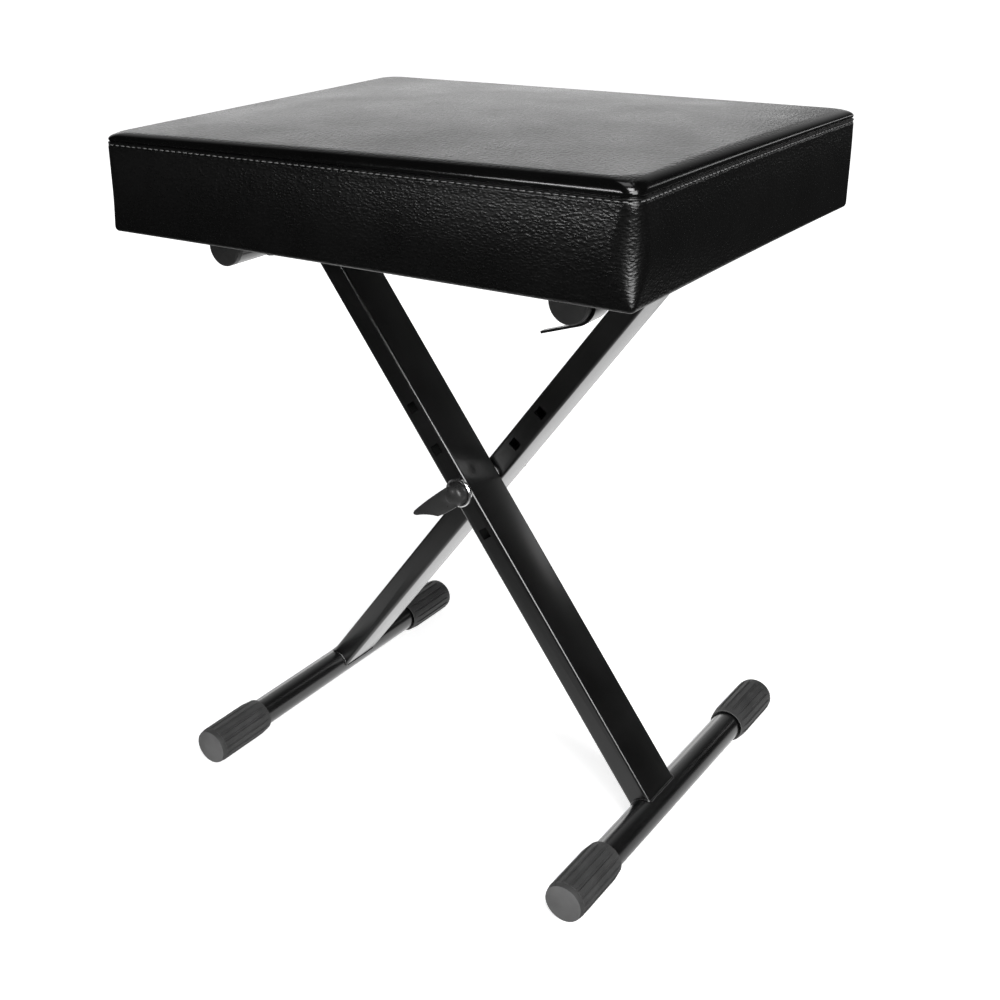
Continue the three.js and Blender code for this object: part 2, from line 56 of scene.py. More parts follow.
# Camera, with the photograph's size, focal length and centre in pixels
IMAGE = 1000
FOCAL = 1363.28
CENTRE = (386.40, 481.41)
YAW, PITCH, ROLL = (math.radians(a) for a in (37.503, 22.994, -1.621))
EYE = Vector((0.57731, -0.88408, 0.69724))
SENSOR_WIDTH = 36


def make_camera():
    forward = Vector((
        -math.sin(YAW) * math.cos(PITCH), math.cos(YAW) * math.cos(PITCH), -math.sin(PITCH),
    ))
    right = Vector((math.cos(YAW), math.sin(YAW), 0))
    up = right.cross(forward)
    turned_right = math.cos(ROLL) * right + math.sin(ROLL) * up
    turned_up = math.cos(ROLL) * up - math.sin(ROLL) * right
    data = bpy.data.cameras.new("camera")
    data.sensor_fit = "HORIZONTAL"
    data.sensor_width = SENSOR_WIDTH
    data.lens = SENSOR_WIDTH * FOCAL / IMAGE
    data.shift_x = (IMAGE / 2 - CENTRE[0]) / IMAGE
    data.shift_y = (CENTRE[1] - IMAGE / 2) / IMAGE
    data.clip_start = 0.05
    data.clip_end = 60
    camera = bpy.data.objects.new("camera", data)
    scene.collection.objects.link(camera)
    basis = Matrix((turned_right, turned_up, -forward)).transposed()
    camera.matrix_world = Matrix.Translation(EYE) @ basis.to_4x4()
    scene.camera = camera


make_camera()


# Node helpers
class Nodes:
    """Short calls for building a node tree."""

    def __init__(self, tree):
        self.tree = tree
        tree.nodes.clear()

    def add(self, kind, inputs=None, **props):
        node = self.tree.nodes.new(kind)
        for key, value in props.items():
            setattr(node, key, value)
        for key, value in (inputs or {}).items():
            if isinstance(value, bpy.types.NodeSocket):
                self.tree.links.new(value, node.inputs[key])
            else:
                node.inputs[key].default_value = value
        return node

    def math(self, operation, a, b=0.0, c=0.0):
        return self.add("ShaderNodeMath", {0: a, 1: b, 2: c}, operation=operation).outputs[0]

    def position(self):
        return self.add("ShaderNodeTexCoord").outputs["Object"]

    def scaled(self, vector, scale):
        node = self.add("ShaderNodeMapping", {"Vector": vector, "Scale": scale})
        return node.outputs["Vector"]

    def noise(self, vector, scale, detail=2.0, roughness=0.5):
        node = self.add("ShaderNodeTexNoise", {
            "Vector": vector, "Scale": scale, "Detail": detail, "Roughness": roughness,
        })
        return node.outputs["Fac"]

    def spread(self, value, low, high, to_low=0.0, to_high=1.0):
        node = self.add("ShaderNodeMapRange", {
            "Value": value, "From Min": low, "From Max": high, "To Min": to_low, "To Max": to_high,
        })
        return node.outputs["Result"]

    def mix(self, share, a, b):
        node = self.add("ShaderNodeMix", {"Factor": share}, data_type="RGBA")
        for index, value in ((6, a), (7, b)):
            if isinstance(value, bpy.types.NodeSocket):
                self.tree.links.new(value, node.inputs[index])
            else:
                node.inputs[index].default_value = value
        return node.outputs[2]

    def bump(self, height, distance, strength):
        inputs = {"Height": height, "Distance": distance, "Strength": strength}
        return self.add("ShaderNodeBump", inputs).outputs["Normal"]

    def surface(self, **inputs):
        shader = self.add("ShaderNodeBsdfPrincipled", {
            key.replace("_", " "): value for key, value in inputs.items()
        })
        out = self.add("ShaderNodeOutputMaterial")
        self.tree.links.new(shader.outputs[0], out.inputs["Surface"])


def material(name):
    made = bpy.data.materials.new(name)
    made.use_nodes = True
    return made, Nodes(made.node_tree)


def grey(value, tint=0.0):
    return (value, value, value * (1 + tint), 1)


# Materials
SMOOTH_EDGE, GRAINED = 5 * MM, 9 * MM


def leatherette(name, cell, relief, roughness, flatness, fine_share, smooth_edge=False):
    """Black vinyl with a pebbled grain. Cell and relief are in metres, and flatness is how many times
    wider than high a pebble is on an upright side. With smooth_edge the cover is pulled smooth over
    the rolled edge, and the grain comes back from SMOOTH_EDGE to GRAINED inside the seat's outline."""
    made, n = material(name)
    place = n.position()
    warp = n.add("ShaderNodeTexNoise", {"Vector": place, "Scale": 0.5 / cell, "Detail": 2.0})
    offset = n.add("ShaderNodeVectorMath", {0: warp.outputs["Color"], 1: (0.5, 0.5, 0.5)},
                   operation="SUBTRACT")
    push = n.add("ShaderNodeVectorMath", {0: offset.outputs[0], "Scale": 0.9 * cell}, operation="SCALE")
    warped = n.add("ShaderNodeVectorMath", {0: place, 1: push.outputs[0]}).outputs[0]
    stretched = n.scaled(warped, (1, 1, flatness))
    cells = n.add("ShaderNodeTexVoronoi", {"Vector": stretched, "Scale": 1 / cell, "Randomness": 1.0},
                  feature="SMOOTH_F1")
    cells.inputs["Smoothness"].default_value = 0.35
    pebble = n.math("SUBTRACT", 1.0, n.spread(cells.outputs["Distance"], 0.1, 0.75))
    fine = n.noise(place, 2.4 / cell, 3.0, 0.6)
    broad = n.noise(place, 18.0, 2.0)
    height = n.math("MULTIPLY_ADD", fine, fine_share, pebble)
    slack = 1.0
    if smooth_edge:
        parts = n.add("ShaderNodeSeparateXYZ", {0: place}).outputs
        from_side = n.math("SUBTRACT", SEAT_LENGTH / 2, n.math("ABSOLUTE", parts["X"]))
        from_front = n.math("SUBTRACT", SEAT_DEPTH / 2, n.math("ABSOLUTE", parts["Y"]))
        inside = n.math("MINIMUM", from_side, from_front)
        slack = n.spread(inside, SMOOTH_EDGE, GRAINED, 0.03, 1.0)
    tone = n.spread(n.math("MULTIPLY_ADD", broad, 0.5, n.math("MULTIPLY", fine, 0.5)), 0.3, 0.7)
    base = n.mix(tone, grey(0.0008), grey(0.0022))
    rough = n.spread(n.math("MULTIPLY_ADD", pebble, -0.5, n.math("ADD", fine, broad)), 0.3, 1.2,
                     roughness - 0.05, roughness + 0.06)
    if smooth_edge:
        rough = n.math("MULTIPLY", rough, n.spread(inside, SMOOTH_EDGE, GRAINED, 0.48, 1.0))
    n.surface(Base_Color=base, Roughness=rough, Specular_IOR_Level=0.5,
              Normal=n.bump(height, relief, slack))
    return made


def painted_steel():
    """Black powder coat: a fine orange peel under a clear gloss."""
    made, n = material("painted_steel_coat")
    place = n.position()
    peel = n.noise(place, 420.0, 3.0, 0.55)
    speck = n.noise(place, 1500.0, 2.0, 0.6)
    broad = n.noise(place, 22.0, 3.0)
    height = n.math("MULTIPLY_ADD", speck, 0.35, peel)
    base = n.mix(n.spread(broad, 0.35, 0.65), grey(0.0022), grey(0.0042, 0.03))
    rough = n.spread(n.math("ADD", broad, speck), 0.7, 1.3, 0.30, 0.40)
    n.surface(Base_Color=base, Roughness=rough, Coat_Weight=1.0, Coat_Roughness=0.18, Coat_IOR=1.5,
              Normal=n.bump(height, 0.00003, 0.6))
    return made


def moulded(name, tone, roughness, grain, painted_highlight_tone=None):
    """Moulded plastic or rubber with a fine grain and a faint bloom. With an end tone, the faces that
    look to the front or to the back get that paler tone, a painted highlight for the light falling on
    them."""
    made, n = material(name)
    place = n.position()
    fine = n.noise(place, 900.0, 3.0, 0.6)
    broad = n.noise(place, 60.0, 3.0)
    base = n.mix(n.spread(broad, 0.35, 0.7), grey(tone * 0.85), grey(tone * 1.2))
    # Faces looking to the front or back are painted paler: a painted highlight standing in for the
    # lamps that light them.
    if painted_highlight_tone is not None:
        facing = n.add("ShaderNodeNewGeometry").outputs["Normal"]
        across = n.math("ABSOLUTE", n.add("ShaderNodeSeparateXYZ", {0: facing}).outputs["Y"])
        painted_end_highlight = n.mix(n.spread(broad, 0.3, 0.7), grey(painted_highlight_tone * 0.85), grey(painted_highlight_tone * 1.15))
        base = n.mix(n.spread(across, 0.6, 0.95), base, painted_end_highlight)
    rough = n.spread(n.math("ADD", broad, fine), 0.7, 1.3, roughness - 0.05, roughness + 0.08)
    n.surface(Base_Color=base, Roughness=rough, Normal=n.bump(fine, grain, 0.7))
    return made


def plated(name, tone, roughness, brush):
    """Chromed or zinc-plated steel with fine handling marks."""
    made, n = material(name)
    place = n.position()
    streak = n.noise(n.scaled(place, (1, 1, 0.15)), 900.0, 3.0, 0.6)
    broad = n.noise(place, 90.0, 2.0)
    base = n.mix(n.spread(broad, 0.3, 0.7), grey(tone * 0.9), grey(tone, 0.01))
    rough = n.spread(n.math("ADD", streak, broad), 0.6, 1.4, roughness * 0.8, roughness * 1.4)
    n.surface(Base_Color=base, Metallic=1.0, Roughness=rough, Normal=n.bump(streak, brush, 0.5))
    return made


def ply():
    """Pale plywood: veneers one over another at the edges, with a grain along the seat."""
    made, n = material("board_ply")
    place = n.position()
    veneer = n.add("ShaderNodeTexWave", {
        "Vector": place, "Scale": 250.0, "Distortion": 1.2, "Detail": 2.0,
    }, bands_direction="Z").outputs["Fac"]
    grain = n.noise(n.scaled(place, (8, 160, 160)), 1.0, 4.0, 0.6)
    tone = n.math("MULTIPLY_ADD", veneer, 0.4, n.math("MULTIPLY", grain, 0.6))
    base = n.mix(tone, (0.24, 0.15, 0.08, 1), (0.52, 0.37, 0.22, 1))
    n.surface(Base_Color=base, Roughness=0.75, Normal=n.bump(grain, 0.0001, 0.6))
    return made


def pressed_cloth():
    """Thin black non-woven cloth under the seat: pressed dots over fibres."""
    made, n = material("dust_cloth_black")
    place = n.position()
    dots = n.add("ShaderNodeTexVoronoi", {"Vector": place, "Scale": 700.0, "Randomness": 0.0})
    dimple = n.spread(dots.outputs["Distance"], 0.15, 0.4)
    fibre = n.noise(n.scaled(place, (1, 3, 1)), 900.0, 4.0, 0.7)
    broad = n.noise(place, 35.0, 2.0)
    base = n.mix(n.math("MULTIPLY", dimple, fibre), grey(0.012), grey(0.035))
    height = n.math("MULTIPLY_ADD", fibre, 0.5, n.math("MULTIPLY_ADD", broad, 0.6, dimple))
    n.surface(Base_Color=base, Roughness=0.92, Sheen_Weight=0.25, Normal=n.bump(height, 0.00015, 0.8))
    return made


def thread():
    made, n = material("stitch_thread")
    strands = n.noise(n.position(), 2200.0)
    base = n.mix(strands, grey(0.09), grey(0.16))
    n.surface(Base_Color=base, Roughness=0.42, Normal=n.bump(strands, 0.0001, 0.8))
    return made


top_leather = leatherette("leatherette_top", cell=0.0022, relief=0.00030, roughness=0.31,
                          flatness=1.0, fine_share=0.35, smooth_edge=True)
side_leather = leatherette("leatherette_boxing", cell=0.0030, relief=0.00014, roughness=0.29,
                           flatness=2.0, fine_share=0.12)
steel_coat = painted_steel()
plug_plastic = moulded("plug_plastic", 0.026, 0.42, 0.00004)
lever_plastic = moulded("lever_plastic", 0.028, 0.30, 0.00003)
# The caps' end faces get a paler painted highlight.
cap_rubber = moulded("cap_rubber", 0.038, 0.55, 0.00010, painted_highlight_tone=0.110)
chrome_plate = plated("chrome_plate", 0.90, 0.20, 0.000005)
zinc_plate = plated("zinc_plate", 0.6, 0.32, 0.00002)
spacer_nylon = moulded("spacer_nylon", 0.62, 0.5, 0.00003)
board_ply = ply()
cloth_black = pressed_cloth()
stitch_thread = thread()


SAME_CORNER = 0.000002


def smoothing_group(angle):
    """Joins a faceted solid's corners and shades it smooth, except over edges sharper than angle."""
    group = bpy.data.node_groups.new("smooth_by_angle", "GeometryNodeTree")
    group.interface.new_socket("Geometry", in_out="INPUT", socket_type="NodeSocketGeometry")
    group.interface.new_socket("Geometry", in_out="OUTPUT", socket_type="NodeSocketGeometry")
    start = group.nodes.new("NodeGroupInput")
    end = group.nodes.new("NodeGroupOutput")
    merge = group.nodes.new("GeometryNodeMergeByDistance")
    merge.inputs["Distance"].default_value = SAME_CORNER
    faces = group.nodes.new("GeometryNodeSetShadeSmooth")
    faces.domain = "FACE"
    edges = group.nodes.new("GeometryNodeSetShadeSmooth")
    edges.domain = "EDGE"
    between = group.nodes.new("GeometryNodeInputMeshEdgeAngle")
    test = group.nodes.new("FunctionNodeCompare")
    test.data_type = "FLOAT"
    test.operation = "GREATER_THAN"
    test.inputs["B"].default_value = angle
    link = group.links.new
    link(start.outputs[0], merge.inputs["Geometry"])
    link(merge.outputs["Geometry"], faces.inputs["Geometry"])
    link(faces.outputs["Geometry"], edges.inputs["Geometry"])
    link(between.outputs["Unsigned Angle"], test.inputs["A"])
    link(test.outputs["Result"], edges.inputs["Selection"])
    edges.inputs["Shade Smooth"].default_value = False
    link(edges.outputs["Geometry"], end.inputs[0])
    return group


SHARP_EDGE = math.radians(32)
smooth_by_angle = smoothing_group(SHARP_EDGE)

CAD_LOOKS = {
    "front_leg": steel_coat, "rear_leg": steel_coat, "hinge_tube": steel_coat,
    "catch_tube": steel_coat, "right_foot": steel_coat, "left_foot": steel_coat,
    "hinge_saddle": steel_coat, "catch_hook": steel_coat, "pivot_bolt": zinc_plate,
    "pivot_spacer": spacer_nylon, "cup_washer": chrome_plate, "clamp_lever": lever_plastic,
    "lever_insert": zinc_plate, "seat_board": board_ply, "dust_cover": cloth_black,
    "saddle_screw": zinc_plate, "hook_screw": zinc_plate, "seat_cushion": side_leather,
}


def look_of(name):
    if "_plug_" in name:
        return plug_plastic
    if "_cap_" in name:
        return cap_rubber
    for start in (name, name.rsplit("_", 1)[0], name.rsplit("_", 2)[0]):
        if start in CAD_LOOKS:
            return CAD_LOOKS[start]
    raise KeyError(name)


for node_name, node in nodes.items():
    node.data.materials.clear()
    node.data.materials.append(look_of(node_name))
    shading = node.modifiers.new("smooth", "NODES")
    shading.node_group = smooth_by_angle


def mesh_object(name, points, faces, looks, body, smooth=True):
    """A new piece that rides on a body. Looks are its materials."""
    mesh = bpy.data.meshes.new(name)
    mesh.from_pydata([tuple(p) for p in points], [], faces)
    mesh.update()
    if smooth:
        mesh.shade_smooth()
    made = bpy.data.objects.new(name, mesh)
    scene.collection.objects.link(made)
    for look in looks:
        mesh.materials.append(look)
    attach(made, body)
    return made


# Seat cushion. Corners are radii in plan, and soft values are added at the front right corner.
# SIDE_END is in millimetres below the seam. Points are counted by corner and side, rings by stretch.
RIM_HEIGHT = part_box("seat_cushion")[0].z
CROWN_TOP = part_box("seat_cushion")[1].z
BOARD_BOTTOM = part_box("seat_board")[0].z
LOW_CORNER, SEAT_CORNER, SEAM_CORNER = 4.5 * MM, 10.5 * MM, 7 * MM
SOFT_CORNER, SOFT_SEAM = 7 * MM, 4.5 * MM
LEAST_CORNER = 0.9 * MM
HEM_CORNER = 10 * MM
SIDE_DRAW, SIDE_BULGE = 1.6 * MM, 1.5 * MM
SIDE_END = 7.6
EDGE_HEIGHT, EDGE_WIDTH = 7.2 * MM, 9 * MM
CROWN_HEIGHT = 5 * MM
CORNER_LIFT = 2.2 * MM
SEAM = CROWN_TOP - EDGE_HEIGHT - CROWN_HEIGHT
RIM_DROP = 5 * MM
UNDERSIDE = RIM_HEIGHT + RIM_DROP
CORNER_POINTS, LONG_POINTS, SHORT_POINTS = 14, 110, 88
SIDE_RINGS, EDGE_RINGS, FLAT_RINGS = 16, 18, 20
CORNERS = ((1, 1, 0), (-1, 1, 90), (-1, -1, 180), (1, -1, 270))
FRONT_RIGHT = CORNERS[3][2]


def round_point(x, y, radius, angle):
    return Vector((x + radius * math.cos(angle), y + radius * math.sin(angle), 0))


def plan(inset, radius=None, draw=SIDE_DRAW, corner=SEAM_CORNER, softer=0.0):
    """Points round the seat's outline, from the back end of the right side by way of the back. Each
    side is drawn in at its middle. Softer is added to the front right corner's radius."""
    if radius is None:
        radius = max(corner - inset, LEAST_CORNER)
    corners = []
    for sign_x, sign_y, start in CORNERS:
        own = radius + (softer if start == FRONT_RIGHT else 0)
        x = sign_x * (SEAT_LENGTH / 2 - inset - own)
        y = sign_y * (SEAT_DEPTH / 2 - inset - own)
        corners.append((x, y, own, start))
    points = []
    for index, (x, y, own, start) in enumerate(corners):
        for step in range(CORNER_POINTS):
            points.append(round_point(x, y, own, math.radians(start + 90 * step / CORNER_POINTS)))
        angle = math.radians(start + 90)
        first = round_point(x, y, own, angle)
        next_x, next_y, next_own, _ = corners[(index + 1) % 4]
        last = round_point(next_x, next_y, next_own, angle)
        inward = -Vector((math.cos(angle), math.sin(angle), 0))
        middle = (first + last) / 2 + 2 * draw * inward
        count = LONG_POINTS if index % 2 == 0 else SHORT_POINTS
        for step in range(count):
            t = step / count
            points.append((1 - t) ** 2 * first + 2 * t * (1 - t) * middle + t * t * last)
    return points


def lifted(points, height):
    return [Vector((p.x, p.y, height)) for p in points]


def on_panel(point, distance, share=1.0):
    """A place on the top panel, at a distance from the panel's edge. The filling is a little higher
    towards the back left and front right corners than towards the other two."""
    x, y = point.x * share, point.y * share
    along, across = 2 * x / SEAT_LENGTH, 2 * y / SEAT_DEPTH
    roll = math.sqrt(1 - (1 - min(1, distance / EDGE_WIDTH)) ** 2)
    swell = CROWN_HEIGHT * (1 - along ** 2) * (1 - across ** 2)
    lift = -CORNER_LIFT * along * across * roll
    return Vector((x, y, SEAM + EDGE_HEIGHT * roll + swell + lift))


def cushion_rings():
    """Rings of the cushion from the inside of the hem, down round the rim, up the boxing, over the
    seam and in over the crown. Returns the rings and the number of the first top panel ring."""
    # Inset, corner radius and draw of each ring in millimetres, and its height
    hem = (
        (18, 10, 0, BOARD_BOTTOM - 0.1 * MM),
        (17.9, 10, 0, UNDERSIDE + 0.3 * MM),
        (17.5, 10, 0, UNDERSIDE),
        (14, 10, 0, UNDERSIDE - 0.1 * MM),
        (11, 10, 0, UNDERSIDE - 0.1 * MM),
        (10, 9, 0.3, UNDERSIDE - 0.6 * MM),
        (9, 9, 0.5, RIM_HEIGHT + 1.2 * MM),
        (7.6, 8, 0.8, RIM_HEIGHT + 0.3 * MM),
        (5.5, 7, 1.2, RIM_HEIGHT),
    )
    # Inset and height above the rim
    bottom_roll = ((3.6, 0.0), (2.2, 0.25), (1.2, 0.9), (0.5, 1.9), (0.1, 3.2), (0.0, 4.6))
    # Distance below the seam and inset
    channel = ((6.2, 0.0), (5.5, 0.06), (4.9, 0.22), (4.4, 0.55), (3.9, 0.80), (3.4, 0.55), (2.9, 0.15))
    fold_and_valley = ((2.5, 0.02), (2.15, 0.2), (1.85, 0.6), (1.6, 1.1), (1.45, 1.4))
    valley_rise = ((1.25, 1.35), (0.95, 1.0), (0.5, 0.65))

    def near_seam(below, inset):
        return lifted(plan(inset * MM, softer=SOFT_SEAM), SEAM - below * MM)

    rings = []
    for inset, radius, draw, height in hem:
        rings.append(lifted(plan(inset * MM, radius * MM, draw * MM), height))
    for inset, height in bottom_roll:
        rings.append(lifted(plan(inset * MM, corner=LOW_CORNER), RIM_HEIGHT + height * MM))
    low, high = bottom_roll[-1][1], (SEAM - RIM_HEIGHT) / MM - SIDE_END
    for step in range(1, SIDE_RINGS + 1):
        t = step / SIDE_RINGS
        swell = math.sin(math.pi * t)
        end = LOW_CORNER if t < 0.5 else SEAM_CORNER
        corner = end + (SEAT_CORNER - end) * swell
        softer = SOFT_SEAM * t + (SOFT_CORNER - SOFT_SEAM * 0.5) * swell
        ring = plan(-SIDE_BULGE * swell, corner=corner, softer=softer)
        rings.append(lifted(ring, RIM_HEIGHT + (low + (high - low) * t) * MM))
    rings += [near_seam(*place) for place in channel + fold_and_valley]
    first_top = len(rings)
    rings += [near_seam(*place) for place in valley_rise]
    for step in range(EDGE_RINGS + 1):
        distance = EDGE_WIDTH * (step / EDGE_RINGS) ** 1.8
        edge = plan(0.5 * MM + distance, corner=SEAM_CORNER + 2 * distance, softer=SOFT_SEAM)
        rings.append([on_panel(p, distance) for p in edge])
    for step in range(1, FLAT_RINGS):
        rings.append([on_panel(p, EDGE_WIDTH, 1 - step / FLAT_RINGS) for p in edge])
    return rings, first_top


def closed_skin(rings, under, over):
    """Points and faces of a closed form from rings of equal counts, which start round the point under
    and end round the point over. The faces come in that order, one ring's count at a time."""
    count = len(rings[0])
    points = [p for ring in rings for p in ring] + [under, over]
    under_point, over_point = len(points) - 2, len(points) - 1
    last = (len(rings) - 1) * count
    following = [(i + 1) % count for i in range(count)]
    faces = [(under_point, j, i) for i, j in enumerate(following)]
    for row in range(0, last, count):
        for i, j in enumerate(following):
            faces.append((row + i, row + j, row + j + count, row + i + count))
    faces += [(over_point, last + i, last + j) for i, j in enumerate(following)]
    return points, faces


def make_cushion():
    rings, first_top = cushion_rings()
    under, over = Vector((0, 0, rings[0][0].z)), Vector((0, 0, CROWN_TOP))
    points, faces = closed_skin(rings, under, over)
    made = mesh_object("padded_seat", points, faces, [side_leather, top_leather], "seat")
    first_top_face = first_top * len(rings[0])
    for index, polygon in enumerate(made.data.polygons):
        polygon.material_index = int(index >= first_top_face)
    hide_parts("seat_cushion")
    return made


# Cloth simulation of the cover
VOXEL = 6 * MM
CLOTH_FRAMES = 20
NEIGHBOURS = 8
MOST_SHIFT = 1.6 * MM
SHIFT_SHARE = 0.3
HELD_ABOVE_RIM, STILL_ABOVE_RIM = 8 * MM, 6 * MM
HELD_BY_SEAM, HELD_BY_EDGE = 5 * MM, 7 * MM
BELOW_SEAM, SIDE_FADE = 2 * MM, 12 * MM
TOP_START, TOP_FADE = 14 * MM, 45 * MM


def inside_edge(point):
    """How far a point lies inside the seat's outline."""
    return min(SEAT_LENGTH / 2 - abs(point.x), SEAT_DEPTH / 2 - abs(point.y))


def coarse_copy(made):
    """A voxel remesh of the piece for the simulation."""
    copy = made.copy()
    copy.data = made.data.copy()
    copy.name = "cover_cloth"
    copy.parent = None
    scene.collection.objects.link(copy)
    bpy.context.view_layer.objects.active = copy
    remesh = copy.modifiers.new("remesh", "REMESH")
    remesh.mode = "VOXEL"
    remesh.voxel_size = VOXEL
    bpy.context.view_layer.update()
    bpy.ops.object.select_all(action="DESELECT")
    copy.select_set(True)
    bpy.ops.object.modifier_apply(modifier="remesh")
    return copy


def blow_up(copy):
    """Runs the cloth, held at the seam and the rim. Returns each point's first place and its shift."""
    before = np.array([v.co for v in copy.data.vertices])
    held = copy.vertex_groups.new(name="held")
    for vertex in copy.data.vertices:
        by_seam = abs(vertex.co.z - SEAM) < HELD_BY_SEAM and inside_edge(vertex.co) < HELD_BY_EDGE
        if vertex.co.z < RIM_HEIGHT + HELD_ABOVE_RIM or by_seam:
            held.add([vertex.index], 1.0, "REPLACE")
    cloth = copy.modifiers.new("cloth", "CLOTH")
    cloth.settings.quality = 5
    cloth.settings.mass = 0.3
    cloth.settings.tension_stiffness = 30
    cloth.settings.compression_stiffness = 30
    cloth.settings.shear_stiffness = 15
    cloth.settings.bending_stiffness = 2
    cloth.settings.use_pressure = True
    cloth.settings.uniform_pressure_force = 3
    cloth.settings.vertex_group_mass = "held"
    cloth.settings.effector_weights.gravity = 0
    cloth.point_cache.frame_start = 1
    cloth.point_cache.frame_end = CLOTH_FRAMES
    for step in range(1, CLOTH_FRAMES + 1):
        scene.frame_set(step)
    depsgraph = bpy.context.evaluated_depsgraph_get()
    after = np.array([v.co for v in copy.evaluated_get(depsgraph).data.vertices])
    return before, after - before


def settle(made):
    """Gives the fine mesh a share of the movement of a cover blown up over foam. It fades out towards
    the seam and the rolled edge, and leaves the rim as it is."""
    copy = coarse_copy(made)
    before, moved = blow_up(copy)
    tree = KDTree(len(before))
    for index, point in enumerate(before):
        tree.insert(point, index)
    tree.balance()
    for vertex in made.data.vertices:
        z = vertex.co.z
        if z < RIM_HEIGHT + STILL_ABOVE_RIM:
            continue
        found = tree.find_n(vertex.co, NEIGHBOURS)
        weights = np.array([1 / (distance + 2 * MM) for _, _, distance in found])
        shift = (moved[[index for _, index, _ in found]] * weights[:, None]).sum(0) / weights.sum()
        size = float(np.linalg.norm(shift))
        if size > MOST_SHIFT:
            shift *= MOST_SHIFT / size
        if z > SEAM - BELOW_SEAM:
            fade = min(1.0, max(0.0, inside_edge(vertex.co) - TOP_START) / TOP_FADE)
        else:
            fade = min(1.0, (SEAM - BELOW_SEAM - z) / SIDE_FADE)
        vertex.co += Vector(shift) * SHIFT_SHARE * fade * fade
    bpy.data.objects.remove(copy)
    scene.frame_set(1)


cushion = make_cushion()
settle(cushion)


# Stitches just under the seam
STITCH_BELOW, STITCH_INSET = 3.9 * MM, 0.55 * MM
STITCH_PITCH, STITCH_LENGTH = 5.8 * MM, 3.9 * MM
THREAD_RADIUS = 0.42 * MM
THREAD_SIDES, THREAD_ROWS = 6, 7


def distances_along(path):
    """Distance from a closed path's start to each of its points, and to its start again."""
    steps = [(b - a).length for a, b in zip(path, path[1:] + path[:1])]
    return np.cumsum([0.0] + steps)


def point_before(lengths, distance):
    """Number of the path's point that a distance along it comes after."""
    return min(int(np.searchsorted(lengths, distance, side="right")) - 1, len(lengths) - 2)


def make_stitches():
    """Lockstitches, each a short thread that dips at both ends."""
    path = lifted(plan(STITCH_INSET, softer=SOFT_SEAM), SEAM - STITCH_BELOW)
    lengths = distances_along(path)
    closed = path + path[:1]
    count = round(lengths[-1] / STITCH_PITCH)
    pitch = lengths[-1] / count

    def at(distance):
        distance %= lengths[-1]
        k = point_before(lengths, distance)
        a, b = closed[k], closed[k + 1]
        share = (distance - lengths[k]) / max(lengths[k + 1] - lengths[k], 1e-9)
        return a.lerp(b, share), (b - a).normalized()

    points, faces = [], []
    for stitch in range(count):
        start = len(points)
        for row in range(THREAD_ROWS):
            t = row / (THREAD_ROWS - 1)
            spot, along = at(stitch * pitch + (t - 0.5) * STITCH_LENGTH)
            outward = Vector((along.y, -along.x, 0))
            swell = math.sin(math.pi * min(max(t, 0.04), 0.96)) ** 0.5
            middle = spot + outward * (0.50 * swell - 0.45) * MM
            radius = THREAD_RADIUS * (0.35 + 0.65 * swell)
            for side in range(THREAD_SIDES):
                angle = 2 * math.pi * side / THREAD_SIDES
                way = math.cos(angle) * outward + math.sin(angle) * Vector((0, 0, 1))
                points.append(middle + radius * way)
        for row in range(THREAD_ROWS - 1):
            for side in range(THREAD_SIDES):
                a = start + row * THREAD_SIDES + side
                b = start + row * THREAD_SIDES + (side + 1) % THREAD_SIDES
                faces.append((a, b, b + THREAD_SIDES, a + THREAD_SIDES))
        end = len(points) - THREAD_SIDES
        faces.append(tuple(range(start, start + THREAD_SIDES))[::-1])
        faces.append(tuple(range(end, end + THREAD_SIDES)))
    mesh_object("seam_stitches", points, faces, [stitch_thread], "seat")


make_stitches()


# Weld beads
LEAN = math.radians(36.5)
LEG_WIDTH, LEG_DEPTH, LEG_CORNER = 20 * MM, 43 * MM, 2.4 * MM
LEG_SPACE = 1.5 * MM
FOOT_RADIUS, TOP_RADIUS = 12.5 * MM, 15 * MM
BEAD_RADIUS, BEAD_STEP, BEAD_SIDES = 1.15 * MM, 0.8 * MM, 8
BEAD_RISE = 0.5 * MM


def closed_bead(name, path, radii, body):
    """A round bead along a closed path. Radii gives its radius at each point."""
    points, faces = [], []
    count = len(path)
    for index, spot in enumerate(path):
        along = (path[(index + 1) % count] - path[index - 1]).normalized()
        side_way = along.cross(Vector((0.13, 0.21, 0.97))).normalized()
        other_way = along.cross(side_way)
        for side in range(BEAD_SIDES):
            angle = 2 * math.pi * side / BEAD_SIDES
            way = math.cos(angle) * side_way + math.sin(angle) * other_way
            points.append(spot + radii[index] * way)
    for index in range(count):
        here, ahead = index * BEAD_SIDES, (index + 1) % count * BEAD_SIDES
        for side in range(BEAD_SIDES):
            following = (side + 1) % BEAD_SIDES
            faces.append((here + side, here + following, ahead + following, ahead + side))
    made = mesh_object(name, points, faces, [steel_coat], body)
    mesh = bmesh.new()
    mesh.from_mesh(made.data)
    bmesh.ops.recalc_face_normals(mesh, faces=mesh.faces)
    mesh.to_mesh(made.data)
    mesh.free()


def leg_outline():
    """Points round a leg's section, about BEAD_STEP apart, as pairs across its width and depth."""
    half_width, half_depth = LEG_WIDTH / 2, LEG_DEPTH / 2
    outline = []
    for sign_u, sign_v, start in CORNERS:
        for step in range(5):
            angle = math.radians(start + 90 * step / 4)
            outline.append((sign_u * (half_width - LEG_CORNER) + LEG_CORNER * math.cos(angle),
                            sign_v * (half_depth - LEG_CORNER) + LEG_CORNER * math.sin(angle)))
    dense = []
    for (u0, v0), (u1, v1) in zip(outline, outline[1:] + outline[:1]):
        steps = max(1, round(math.hypot(u1 - u0, v1 - v0) / BEAD_STEP))
        for step in range(steps):
            t = step / steps
            dense.append((u0 + (u1 - u0) * t, v0 + (v1 - v0) * t))
    return dense


